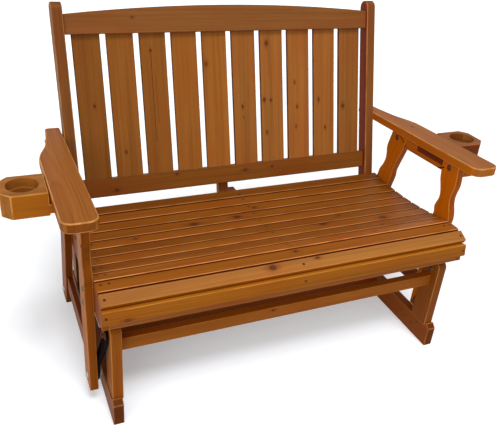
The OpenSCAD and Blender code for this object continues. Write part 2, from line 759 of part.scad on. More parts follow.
module crest_rail() color("chocolate") leaning() difference() {
    translate([0, crest_set + crest_t, 0]) rotate([90, 0, 0]) linear_extrude(crest_t) intersection() {
        translate([-back_in, crest_u]) square([2 * back_in, crest_end_h + crest_rise + past]);
        translate([0, crest_u + crest_end_h + crest_rise - crest_r]) circle(crest_r, $fn = arch_fine);
    }
    back_slat_cuts();
}

module lower_back_rail() color("chocolate") leaning() difference() {
    across(-back_in, back_in) translate([low_back_set + low_back_t / 2, low_back_u + low_back_h / 2])
        bar(low_back_t, low_back_h, slat_round);
    back_slat_cuts();
}

module back_slat_group(from, to) color("chocolate") leaning() for (i = [from:to])
    translate([back_slat_x(i), back_slat_set + back_slat_t / 2, slat_foot_u])
        linear_extrude(slat_head_u - slat_foot_u) bar(back_slat_w, back_slat_t, slat_round);

module back_brace() color("chocolate") leaning()
    translate([-mid_rail_t / 2 - brace_w, low_back_set + low_back_t, -back_post_down])
        cube([brace_w, brace_t, back_post_down + low_back_u + low_back_h - brace_down]);

// Arms
arm_curve = [[arm_w, 424], [arm_w - 7, 460], [arm_w - 16, 487], [arm_w - 28, 524],
    [arm_tail_w + 10, 571], [arm_tail_w + 3, 624], [arm_tail_w, 664]];
module armrest(side) on_side(side) color("peru") difference() {
    on_arm() translate([armrest_in, 0, -arm_t]) linear_extrude(arm_t) polygon(concat(
        arc(arm_round, arm_round, arm_round, 180, 270),
        arc(arm_w - arm_round, arm_round, arm_round, 270, 360),
        curve(arm_curve),
        arc(arm_tail_w - tail_round, arm_len - tail_round, tail_round, 0, 90),
        arc(tail_round / 2, arm_len - tail_round / 2, tail_round / 2, 90, 180)
    ));
    along_x(back_out, armrest_out, tail_bolt_y, tail_bolt_z, bolt_d / 2 + fixed_gap);
    along_x(tail_head_x, armrest_out, tail_bolt_y, tail_bolt_z, head_d / 2 + end_gap);
}

// A board under the arm, following its underside
module under_arm(y0, y1, h)
    polygon([[y0, arm_under(y0) - h], [y1, arm_under(y1) - h], [y1, arm_under(y1)], [y0, arm_under(y0)]]);

// Nothing of the board between the legs lies behind the rear leg
apron_cut = 100;
module arm_apron(side) on_side(side) color("peru") difference() {
    across(half_seat + leg_t / 2 - arm_apron_t / 2, half_seat + leg_t / 2 + arm_apron_t / 2) difference() {
        under_arm(front_leg_y + front_leg_w, rear_leg_y, arm_apron_h);
        front_leg_outline();
        rear_leg_outline();
        translate([rear_leg_y - apron_cut, 0]) square([rear_leg_y, leg_over]);
    }
    toe_screws() screw_cut();
}

module arm_bearer(side) on_side(side) color("peru") difference() {
    across(leg_out, bearer_out) under_arm(bearer_y, bearer_end_y, bearer_h);
    for (p = arm_bolt_places)
        along_x(leg_out - past, bearer_out - blind, p[0], p[1], bolt_d / 2 + fixed_gap);
}

module cup_holder(side) on_side(side) color("peru") difference() {
    union() {
        translate([cup_in, cup_y, cup_z - cup_h]) linear_extrude(cup_h)
            polygon([[0, 0], [cup_w - cup_corner, 0], [cup_w, cup_corner], [cup_w, cup_d - cup_corner],
                [cup_w - cup_corner, cup_d], [0, cup_d]]);
        translate([bearer_out, cup_y, cup_z - cup_h + tongue_z]) cube([cup_in - bearer_out, cup_d, tongue_h]);
    }
    translate([cup_in + well_set, cup_y + cup_d / 2, cup_z]) {
        translate([0, 0, -well_depth]) cylinder(h = well_depth + past, r = well_d / 2, $fn = fine);
        translate([0, 0, -well_total]) cylinder(h = well_total, r = well_low_d / 2, $fn = fine);
    }
}

module arm_plate() color("#4a2412") {
    y0 = front_leg_y + front_leg_w + plate_gap;
    z0 = arm_under(y0) - plate_down;
    plate_len = (leg_line(z0, rear_leg_y, rear_leg_slope) - plate_end - y0) / cos(arm_pitch);
    translate([half_seat + leg_t / 2 - arm_apron_t / 2 - plate_t, y0, z0])
        rotate([-arm_pitch, 0, 0]) translate([0, 0, -plate_h]) cube([plate_t, plate_len, plate_h]);
}

// Fastener groups
module base_screws() color("silver") {
    for (side = [-1, 1]) on_side(side) runner_screw_places() screw_shape(runner_screw_len);
    rail_screw_places() screw_shape(rail_screw_len);
}

module base_pivots(x) for (side = [-1, 1], end = [false, true]) on_side(side) at_end(end)
    translate([x, front_pivot_y, pivot_z]) children();
base_bolt_len = post_t + spacer_t + steel_t + 2 * side_gap + nut_h + bolt_past;
module base_pivot_bolts() color("silver") base_pivots(post_x - post_t) bolt_shape(base_bolt_len, pivot_d);
module base_pivot_nuts() color("silver") {
    base_pivots(post_x) washer_shape(spacer_t);
    base_pivots(arm_in + steel_t + side_gap) nut_shape();
}

bench_bolt_len = leg_t + washer_t + steel_t + 2 * side_gap + nut_h + bolt_past;
module bench_pivot_bolts() color("silver") for (side = [-1, 1]) on_side(side)
    bench_pivot_places() mirror([1, 0, 0]) bolt_shape(bench_bolt_len, pivot_d);
module bench_pivot_nuts() color("silver") for (side = [-1, 1]) on_side(side) bench_pivot_places() {
    translate([-leg_t - washer_t, 0, 0]) washer_shape(washer_t);
    translate([-leg_t - washer_t - steel_t - 2 * side_gap, 0, 0]) mirror([1, 0, 0]) nut_shape();
}

module leg_bolts() color("silver") for (side = [-1, 1]) on_side(side) {
    for (p = front_bolt_places) translate([leg_out, p[0], p[1]]) mirror([1, 0, 0])
        bolt_shape(leg_t + rail_t - end_gap, bolt_d);
    for (p = rear_bolt_places) translate([rail_in, p[0], p[1]])
        bolt_shape(leg_t + rail_t - blind - past, bolt_d);
}

module arm_bolts() color("silver") for (side = [-1, 1]) on_side(side) {
    for (p = arm_bolt_places) translate([half_seat, p[0], p[1]])
        bolt_shape(leg_t + bearer_w - blind - past, bolt_d);
    translate([tail_head_x, tail_bolt_y, tail_bolt_z]) mirror([1, 0, 0])
        bolt_shape(tail_head_x - back_in - tail_stop, bolt_d);
}

module bench_screws() color("silver") {
    all_slat_screws() screw_shape();
    for (side = [-1, 1]) on_side(side) toe_screws() screw_shape();
}

placed() runner(-1);  // runner_left
placed() runner(1);  // runner_right
placed() base_post(-1, false);  // base_post_front_left
placed() base_post(1, false);  // base_post_front_right
placed() base_post(-1, true);  // base_post_rear_left
placed() base_post(1, true);  // base_post_rear_right
placed() base_rail(false);  // base_rail_front
placed() base_rail(true);  // base_rail_rear
placed() base_rail_centre();
placed() swing_arm(-1, false);  // swing_arm_front_left
placed() swing_arm(1, false);  // swing_arm_front_right
placed() swing_arm(-1, true);  // swing_arm_rear_left
placed() swing_arm(1, true);  // swing_arm_rear_right
placed() seat_rail(-1);  // seat_rail_left
placed() seat_rail_middle();
placed() seat_rail(1);  // seat_rail_right
placed() seat_cleats();
placed() seat_apron();
placed() front_slat();
placed() nose_slat();
placed() seat_slat(1);  // seat_slat_1
placed() seat_slat(2);  // seat_slat_2
placed() seat_slat(3);  // seat_slat_3
placed() seat_slat(4);  // seat_slat_4
placed() seat_slat(5);  // seat_slat_5
placed() seat_slat(6);  // seat_slat_6
placed() seat_slat(7);  // seat_slat_7
placed() seat_slat(8);  // seat_slat_8
placed() seat_slat(9);  // seat_slat_9
placed() seat_slat(10);  // seat_slat_10
placed() back_post(-1);  // back_post_left
placed() back_post(1);  // back_post_right
placed() crest_rail();
placed() lower_back_rail();
placed() back_brace();
placed() back_slat_group(1, back_slats / 2);  // back_slats_left
placed() back_slat_group(back_slats / 2 + 1, back_slats);  // back_slats_right
placed() leg(-1, false);  // leg_front_left
placed() leg(1, false);  // leg_front_right
placed() leg(-1, true);  // leg_rear_left
placed() leg(1, true);  // leg_rear_right
placed() side_stretcher(-1);  // side_stretcher_left
placed() side_stretcher(1);  // side_stretcher_right
placed() armrest(-1);  // armrest_left
placed() armrest(1);  // armrest_right
placed() arm_apron(-1);  // arm_apron_left
placed() arm_apron(1);  // arm_apron_right
placed() arm_bearer(-1);  // arm_bearer_left
placed() arm_bearer(1);  // arm_bearer_right
placed() cup_holder(-1);  // cup_holder_left
placed() cup_holder(1);  // cup_holder_right
placed() arm_plate();
placed() base_screws();
placed() base_pivot_bolts();
placed() base_pivot_nuts();
placed() bench_pivot_bolts();
placed() bench_pivot_nuts();
placed() leg_bolts();
placed() arm_bolts();
placed() bench_screws();
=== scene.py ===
import math
import random

import bpy
from mathutils import Matrix, Vector


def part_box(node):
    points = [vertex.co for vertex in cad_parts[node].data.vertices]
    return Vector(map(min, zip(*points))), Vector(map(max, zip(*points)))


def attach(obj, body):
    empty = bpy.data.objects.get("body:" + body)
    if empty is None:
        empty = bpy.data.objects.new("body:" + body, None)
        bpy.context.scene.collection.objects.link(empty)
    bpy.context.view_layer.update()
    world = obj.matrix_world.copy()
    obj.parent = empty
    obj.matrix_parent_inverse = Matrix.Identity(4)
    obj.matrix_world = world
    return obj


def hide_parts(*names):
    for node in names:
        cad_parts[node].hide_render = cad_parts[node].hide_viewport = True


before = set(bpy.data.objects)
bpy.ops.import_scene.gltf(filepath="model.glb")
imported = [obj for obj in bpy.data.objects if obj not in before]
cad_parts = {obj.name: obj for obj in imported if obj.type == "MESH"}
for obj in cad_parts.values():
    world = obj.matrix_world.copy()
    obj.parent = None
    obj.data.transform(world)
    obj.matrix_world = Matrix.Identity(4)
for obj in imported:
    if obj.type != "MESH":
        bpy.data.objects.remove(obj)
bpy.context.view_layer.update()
print("frame loaded with", len(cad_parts), "nodes")

sideways = Vector((1, 0, 0))
backward = Vector((0, 1, 0))
upward = Vector((0, 0, 1))
backLean = math.radians(15.7)
armPitch = math.radians(2.6)
legSlant = math.atan(0.272)
noseTip = math.radians(28)


def tilted(direction, angle):  # turned in the side view, where a positive angle lifts the rear
    y, z = direction.y, direction.z
    cosine, sine = math.cos(angle), math.sin(angle)
    return Vector((0, y * cosine - z * sine, y * sine + z * cosine))


# The way the wood runs in each kind of board: along, across and through it
grainWays = {
    "wide": (sideways, backward, upward),
    "wideUpright": (sideways, upward, backward),
    "wideNose": (sideways, tilted(backward, noseTip), tilted(upward, noseTip)),
    "wideBack": (sideways, tilted(upward, -backLean), tilted(backward, -backLean)),
    "deep": (backward, upward, sideways),
    "tall": (upward, backward, sideways),
    "back": (tilted(upward, -backLean), sideways, tilted(backward, -backLean)),
    "post": (tilted(upward, -backLean), tilted(backward, -backLean), sideways),
    "rearLeg": (tilted(upward, legSlant), tilted(backward, legSlant), sideways),
    "arm": (tilted(backward, -armPitch), sideways, tilted(upward, -armPitch)),
    "armSide": (tilted(backward, -armPitch), tilted(upward, -armPitch), sideways),
}


def shade(red, green, blue):  # a colour as a paint program gives it, 0 to 255
    values = []
    for part in (red, green, blue):
        part = part / 255
        values.append(part / 12.92 if part <= 0.04045 else ((part + 0.055) / 1.055) ** 2.4)
    return (*values, 1.0)


def scaled(colour, *factors):  # one factor for all of it, or one each for red, green and blue
    if len(factors) == 1:
        factors = factors * 3
    return tuple(min(1.0, part * factor) for part, factor in zip(colour, factors)) + (1.0,)


# One socket of a node, with sums that add their Math nodes
class Signal:
    def __init__(self, finish, socket):
        self.finish = finish
        self.socket = socket

    def math(self, operation, *others, clamp=False):
        values = dict(enumerate((self, *others)))
        return self.finish.add("Math", {"operation": operation, "use_clamp": clamp}, values)

    def __add__(self, other):
        return self.math("ADD", other)

    def __radd__(self, other):
        return self.math("ADD", other)

    def __sub__(self, other):
        return self.math("SUBTRACT", other)

    def __rsub__(self, other):
        return self.finish.add("Math", {"operation": "SUBTRACT"}, {0: other, 1: self})

    def __mul__(self, other):
        return self.math("MULTIPLY", other)

    def __rmul__(self, other):
        return self.math("MULTIPLY", other)

    def __pow__(self, other):
        return self.math("POWER", other)


# The nodes of a material or of the world, and the one way they are added
class Finish:
    def __init__(self, owner):
        self.owner = owner
        owner.use_nodes = True
        self.tree = owner.node_tree
        self.tree.nodes.clear()

    def add(self, kind, settings=None, values=None, out=0):
        node = self.tree.nodes.new("ShaderNode" + kind)
        for key, value in (settings or {}).items():
            setattr(node, key, value)
        for key, value in (values or {}).items():
            if isinstance(value, Signal):
                self.tree.links.new(value.socket, node.inputs[key])
            else:
                node.inputs[key].default_value = value
        return Signal(self, node.outputs[out]) if node.outputs else None

    def mixColour(self, factor, first, second, blend="MIX"):
        settings = {"data_type": "RGBA", "blend_type": blend}
        return self.add("Mix", settings, {0: factor, 6: first, 7: second}, out=2)

    def between(self, value, limits, size=1.0):  # 0 under the limits, 1 over them, smooth between
        low, high = limits[0] * size, limits[1] * size
        values = {"Value": value, "From Min": low, "From Max": high}
        return self.add("MapRange", {"interpolation_type": "SMOOTHSTEP"}, values)

    def inside(self, value, limits, size=1.0):  # 1 under the limits, 0 over them
        return 1 - self.between(value, limits, size)

    def joined(self, x, y, z):
        return self.add("CombineXYZ", None, {0: x, 1: y, 2: z})

    def noise(self, place, scale=1.0, detail=2.0, roughness=0.5):
        values = {"Vector": place, "Scale": scale, "Detail": detail, "Roughness": roughness}
        return self.add("TexNoise", None, values)

    def seenDirectly(self):  # 1 for what the camera, a gloss or a glass sees, 0 for what lights the object
        kinds = ("Is Camera Ray", "Is Glossy Ray", "Is Transmission Ray")
        return strongest([self.add("LightPath", out=kind) for kind in kinds])

    def surface(self, colour, roughness, normal, **fixed):
        values = {"Base Color": colour, "Roughness": roughness, "Normal": normal}
        for key, value in fixed.items():
            values[key.replace("_", " ")] = value
        shader = self.add("BsdfPrincipled", None, values)
        self.add("OutputMaterial", None, {"Surface": shader})
        return self.owner


def strongest(masks):
    most = masks[0]
    for mask in masks[1:]:
        most = most.math("MAXIMUM", mask)
    return most


# Knots, with reaches counted in half widths of a knot
knotLook = {
    "heart": shade(104, 56, 26),
    "heartStrength": 0.7,
    "heartReach": (0.25, 0.75),
    "ring": shade(62, 26, 12),
    "ringStrength": (0.55, 0.9),
    "ringReach": (0.6, 1.5),
    "halo": shade(116, 58, 22),
    "haloStrength": 0.55,
    "haloReach": (0.9, 2.6),
    "haloRound": 0.6,
    "bendReach": (0.6, 4.0),
    "bend": 0.5,  # how far the grain gives way beside a knot
    "stretch": (0.6, 0.95),
    "crumbScale": 420.0,
    "ragged": 1.5,
    "counts": (0, 0, 1, 1),  # on a board whose knots aren't listed
    "alongReach": 0.4,
    "acrossReach": 0.28,
    "sizes": (0.0028, 0.0045),
}


def plainKnots(seed, way, low, high):  # a knot or none, where none are listed
    rng = random.Random(seed * 7 + 1)
    size = high - low
    length, width = [abs(size.dot(axis)) for axis in grainWays[way][:2]]
    alongReach, acrossReach = knotLook["alongReach"], knotLook["acrossReach"]
    knots = []
    for _ in range(rng.choice(knotLook["counts"])):
        along = rng.uniform(-alongReach, alongReach) * length
        across = rng.uniform(-acrossReach, acrossReach) * width
        knots.append((along, across, rng.uniform(*knotLook["sizes"])))
    return knots


# Masks of the knots' hearts, rings and halos, and the place across the board as they bend it
def drawKnots(finish, rng, place, along, across, bentAcross, knots):
    crumbs = finish.noise(place, knotLook["crumbScale"])
    hearts, rings, halos = [], [], []
    for knotAlong, knotAcross, knotSize in knots:
        stepAlong = (along - knotAlong) * rng.uniform(*knotLook["stretch"])
        stepAcross = across - knotAcross
        reach = (stepAlong * stepAlong + stepAcross * stepAcross) ** 0.5
        ragged = reach + (crumbs - 0.5) * knotSize * knotLook["ragged"]
        bend = finish.inside(reach, knotLook["bendReach"], knotSize)
        bentAcross = bentAcross - stepAcross * bend * knotLook["bend"]
        hearts.append(finish.inside(ragged, knotLook["heartReach"], knotSize))
        ring = finish.inside(ragged, knotLook["ringReach"], knotSize)
        rings.append(ring * rng.uniform(*knotLook["ringStrength"]))
        haloShape = reach * knotLook["haloRound"] + stepAcross.math("ABSOLUTE") * (1 - knotLook["haloRound"])
        halos.append(finish.inside(haloShape, knotLook["haloReach"], knotSize))
    return bentAcross, strongest(hearts), strongest(rings), strongest(halos)


# Drying cracks that run along the grain
crackLook = {"colour": shade(64, 28, 12), "strength": 0.8, "wander": 0.006, "core": 0.35, "fade": 0.004}


def drawCracks(finish, along, across, slow, cracks):
    fade = crackLook["fade"]
    lines = []
    for start, end, crackAcross, width in cracks:
        beside = (across - crackAcross + (slow - 0.5) * crackLook["wander"]).math("ABSOLUTE")
        line = finish.inside(beside, (crackLook["core"], 1.0), width)
        line = line * finish.between(along, (start - fade, start + fade))
        lines.append(line * finish.inside(along, (end - fade, end + fade)))
    return strongest(lines)


# Stained softwood: rings cut along the board, streaks, fibres, edges that are partly worn and partly painted
# highlight and painted shade, and dark ends
faceMarks = ("edgeWearAndLightMark", "endGrain", "narrowSide")  # the attributes that easedCopy writes
woodLook = {
    "early": 1.18,  # times the stain, in the pale part of a ring
    "late": 0.56,
    "red": (1.02, 0.72, 0.62),
    "redRange": (0.35, 0.78),
    "redStrength": 3.0,
    "shift": (3.0, 60.0),  # how far the figure of one board lies from another's
    "plankShift": 7.3,  # the same from plank to plank of one node
    "plankDraw": (1, 9),
    "plankStrength": 0.2,
    "plankMatch": 0.2,  # how near a plank's number has to be
    "scales": {  # of the clouds: along, across and through the board
        "slow": (2.2, 5.0, 5.0),
        "streaks": (1.8, 130.0, 60.0),
        "fibres": (26.0, 900.0, 900.0),
        "blotches": (4.0, 9.0, 9.0),
        "bands": (1.2, 34.0, 20.0),
        "wear": (14.0, 60.0, 60.0),
    },
    "heartTurn": (15, 75),
    "heartAway": (0.07, 0.15),
    "ringSlant": (-0.012, 0.012),
    "ringWave": 0.02,
    "ringSpacing": 0.0044,
    "ringSharpness": 2.2,
    "ringFade": (0.86, 1.0),
    "ringStrength": 0.44,
    "streakDetail": 3.0,
    "streakRoughness": 0.65,
    "streakRange": (0.42, 0.7),
    "streakStrength": 0.36,
    "fibreStrength": 0.4,
    "bandStrength": 0.42,
    "wearRange": (0.3, 0.62),
    "wearLeast": 0.3,
    "roughness": 0.5,
    "fibreRoughness": 0.12,
    "endRoughness": 0.2,
    "blotchRoughness": 0.1,
    "coat": 0.03,
    "coatRoughness": 0.3,
    "specular": 0.07,
    "grainHeight": -0.6,
    "fibreHeight": 0.5,
    "bumpStrength": 0.5,
    "bumpDistance": 0.0002,
}


def woodFinish(name, settings, centre, seed, tone, knots):
    look = woodLook
    rng = random.Random(seed)
    finish = Finish(bpy.data.materials.new(name))
    place = finish.add("TexCoord", out="Object")
    product = {"operation": "DOT_PRODUCT"}
    along, across, through = [
        finish.add("VectorMath", product, {0: place, 1: axis}, out="Value") - axis.dot(centre)
        for axis in grainWays[settings["way"]]
    ]
    shift = rng.uniform(*look["shift"])
    own = across
    if settings["pitch"]:  # several boards in one piece, each cut from its own plank
        cell = (across * (1 / settings["pitch"])).math("ROUND")
        own = across - cell * settings["pitch"]
        shift = cell * look["plankShift"] + shift

    def cloud(kind, width, shifted, detail=2.0, roughness=0.5):
        steps = [way * scale for way, scale in zip((along, width, through), look["scales"][kind])]
        steps[shifted] = steps[shifted] + shift
        return finish.noise(finish.joined(*steps), 1.0, detail, roughness)

    slow = cloud("slow", own, 0)
    bentAcross = own
    if knots:
        bentAcross, hearts, knotRings, halos = drawKnots(finish, rng, place, along, across, own, knots)

    # Rings round a heart that lies beside the board
    turn = math.radians(rng.uniform(*look["heartTurn"])) * rng.choice((-1, 1))
    away = rng.uniform(*look["heartAway"])
    ringAcross = bentAcross + math.sin(turn) * away
    ringThrough = through + math.cos(turn) * away
    radius = (ringAcross * ringAcross + ringThrough * ringThrough) ** 0.5
    radius = radius + (slow - 0.5) * look["ringWave"] + along * rng.uniform(*look["ringSlant"])
    saw = (radius * (1 / look["ringSpacing"])).math("FRACT")
    lateWood = saw ** look["ringSharpness"] * finish.inside(saw, look["ringFade"])
    streaks = cloud("streaks", bentAcross, 0, look["streakDetail"], look["streakRoughness"])
    fibres = cloud("fibres", bentAcross, 2)
    blotches = cloud("blotches", own, 1)
    bands = cloud("bands", own, 1)
    grain = lateWood * look["ringStrength"]
    grain = grain + finish.between(streaks, look["streakRange"]) * look["streakStrength"]
    grain = (grain + (fibres - 0.5) * look["fibreStrength"]).math("ADD", 0.0, clamp=True)

    # Colour: stain, redder patches, painted light and shade on narrow sides, rear edges and inner faces,
    # edges of wear with painted highlight and shade, cut ends, knots and cracks
    stain = shade(*settings["stain"])[:3]
    colour = finish.mixColour(grain, scaled(stain, look["early"]), scaled(stain, look["late"]))
    redder = finish.between(blotches, look["redRange"]) * settings["red"] * look["redStrength"]
    colour = finish.mixColour(redder, colour, scaled(stain, *look["red"]))
    edgeWearAndLight, ends, narrow = [finish.add("Attribute", {"attribute_name": mark}, out="Fac") for mark in faceMarks]
    sideShadeAndLight = (*settings["sideShadeAndLight"], 1.0)
    endGrainAndLight = (*settings["endGrainAndLight"], 1.0)
    # narrow sides, shaded rear edges and inner faces are multiplied by the side colour: painted shade below
    # 1, painted light above 1
    colour = finish.mixColour(narrow * settings["narrow"], colour, sideShadeAndLight, blend="MULTIPLY")
    wear = finish.between(cloud("wear", across, 0), look["wearRange"])
    wear = wear * (1 - look["wearLeast"]) + look["wearLeast"]
    # edge faces take the edge colour: partly real wear, partly a painted highlight where the colour is light
    # and painted shade where it is dark
    colour = finish.mixColour(edgeWearAndLight * wear * settings["edgeWearAndLightStrength"], colour, shade(*settings["edge"]))
    # cut ends are multiplied by the end colour: darker end grain, and painted light where it is above 1
    colour = finish.mixColour(ends, colour, endGrainAndLight, blend="MULTIPLY")
    if knots:
        colour = finish.mixColour(halos * knotLook["haloStrength"], colour, knotLook["halo"])
        colour = finish.mixColour(knotRings, colour, knotLook["ring"])
        colour = finish.mixColour(hearts * knotLook["heartStrength"], colour, knotLook["heart"])
    if settings["cracks"]:
        cracks = drawCracks(finish, along, across, slow, settings["cracks"])
        colour = finish.mixColour(cracks * crackLook["strength"], colour, crackLook["colour"])

    # Tone: the board's own, its bands, and each plank's where there are several
    level = (bands - 0.5) * look["bandStrength"] + tone
    if settings["pitch"]:
        draw = cell + rng.uniform(*look["plankDraw"])
        plank = finish.add("TexWhiteNoise", {"noise_dimensions": "1D"}, {"W": draw})
        level = level + (plank - 0.5) * look["plankStrength"]
        middle = len(settings["plankTones"]) // 2
        for number, change in enumerate(settings["plankTones"]):
            onPlank = cell.math("COMPARE", number - middle, look["plankMatch"])
            level = level + onPlank * change
    colour = finish.mixColour(1.0, colour, finish.joined(level, level, level), blend="MULTIPLY")

    roughness = look["roughness"] + (fibres - 0.5) * look["fibreRoughness"] + ends * look["endRoughness"]
    roughness = roughness + (blotches - 0.5) * look["blotchRoughness"]
    height = grain * look["grainHeight"] + (fibres - 0.5) * look["fibreHeight"]
    bump = {"Strength": look["bumpStrength"], "Distance": look["bumpDistance"], "Height": height}
    return finish.surface(
        colour, roughness, finish.add("Bump", None, bump), Coat_Weight=look["coat"],
        Coat_Roughness=look["coatRoughness"], Specular_IOR_Level=look["specular"],
    )


# How a board's edges are eased and its faces told apart
easeSetup = {
    "merge": 0.00001,
    "flat": math.radians(0.25),
    "sharp": math.radians(38),
    "smooth": math.radians(40),
    "shortest": 0.1,  # a run of edges that spans less, such as a hole's rim, stays sharp
    "segments": 2,
    "roundFacing": 0.92,
    "sideFacing": 0.8,
    "rearFacing": 0.3,
}


def activate(piece):
    bpy.ops.object.select_all(action="DESELECT")
    piece.select_set(True)
    bpy.context.view_layer.objects.active = piece


# Weights the outer edges to be eased, and leaves the rims of screw holes and housings sharp
def weighEdges(piece):
    mesh = piece.data
    beside = {}
    for face in mesh.polygons:
        for key in face.edge_keys:
            beside.setdefault(key, []).append(face)
    sharp = []
    for key, faces in beside.items():
        if len(faces) != 2:
            continue
        first, second = faces
        outward = (second.center - first.center).dot(first.normal) < 0
        if outward and first.normal.angle(second.normal, 0) > easeSetup["sharp"]:
            sharp.append(key)
    run = {}

    def head(vertex):
        while run.setdefault(vertex, vertex) != vertex:
            vertex = run[vertex]
        return vertex

    for start, end in sharp:
        run[head(start)] = head(end)
    corners = {}
    for start, end in sharp:
        for vertex in (start, end):
            corners.setdefault(head(start), []).append(mesh.vertices[vertex].co)
    reach = {
        name: Vector([max(p[i] for p in points) - min(p[i] for p in points) for i in range(3)]).length
        for name, points in corners.items()
    }
    eased = {key for key in sharp if reach[head(key[0])] > easeSetup["shortest"]}
    weights = mesh.attributes.new("bevel_weight_edge", "FLOAT", "EDGE")
    for edge in mesh.edges:
        weights.data[edge.index].value = 1.0 if edge.key in eased else 0.0


# A copy of a node's board with eased edges, marked where its edges take wear with painted highlight and
# shade, where narrow sides, rear edges and inner faces take painted light and shade, and where it is cut
# across
def easedCopy(node, settings, middle):
    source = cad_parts[node]
    piece = bpy.data.objects.new(node + "_board", source.data.copy())
    bpy.context.scene.collection.objects.link(piece)
    piece.data.materials.clear()
    activate(piece)
    bpy.ops.object.mode_set(mode="EDIT")
    bpy.ops.mesh.select_mode(type="VERT")
    bpy.ops.mesh.select_all(action="SELECT")
    bpy.ops.mesh.remove_doubles(threshold=easeSetup["merge"])
    bpy.ops.mesh.dissolve_limited(angle_limit=easeSetup["flat"], use_dissolve_boundaries=False, delimit=set())
    bpy.ops.object.mode_set(mode="OBJECT")
    for spare in ("spareOne", "spareTwo"):  # the bevel marks its faces with the second one
        piece.data.materials.append(bpy.data.materials.get(spare) or bpy.data.materials.new(spare))
    for face in piece.data.polygons:
        face.material_index = 0
    weighEdges(piece)
    bpy.ops.object.modifier_add(type="BEVEL")
    bevel = piece.modifiers[-1]
    bevel.width = settings["ease"]
    bevel.segments = easeSetup["segments"]
    bevel.limit_method = "WEIGHT"
    bevel.use_clamp_overlap = False
    bevel.material = 1
    bpy.ops.object.modifier_apply(modifier=bevel.name)
    bpy.ops.object.shade_smooth_by_angle(angle=easeSetup["smooth"])
    bpy.ops.object.modifier_add(type="WEIGHTED_NORMAL")
    piece.modifiers[-1].keep_sharp = True
    bpy.ops.object.modifier_apply(modifier=piece.modifiers[-1].name)

    axes = grainWays[settings["way"]]
    sideFacing = easeSetup["sideFacing"]
    wellX, wellY, wellReach = settings["well"]
    for mark in faceMarks:
        piece.data.attributes.new(mark, "FLOAT", "FACE")
    edgeWearAndLight, ends, narrow = [piece.data.attributes[mark] for mark in faceMarks]
    for face in piece.data.polygons:
        facing = [abs(face.normal.dot(axis)) for axis in axes]
        edge = face.material_index == 1 or (settings["round"] and max(facing) < easeSetup["roundFacing"])
        inWell = math.hypot(abs(face.center.x) - wellX, face.center.y - wellY) < wellReach
        flat = not edge and not inWell
        # rear edges of seat slats lose the edge colour and take the dark side colour: painted shade in the
        # gaps
        rear = settings["shadedRearEdges"] and edge and face.normal.dot(axes[1]) > easeSetup["rearFacing"]
        # inner faces of the back posts take the dark side colour: painted shade
        inner = settings["shadedInnerFaces"] and face.normal.x * middle < -sideFacing * abs(middle)
        side = flat and facing[1] > sideFacing and not settings["shadedInnerFaces"]
        # edge faces get the edge colour of wear with painted highlight and shade
        edgeWearAndLight.data[face.index].value = 1.0 if edge and not rear else 0.0
        ends.data[face.index].value = 1.0 if flat and facing[0] > settings["endReach"] else 0.0
        narrow.data[face.index].value = 1.0 if rear or inner or side else 0.0
        face.material_index = 0
    piece.data.materials.clear()
    return piece


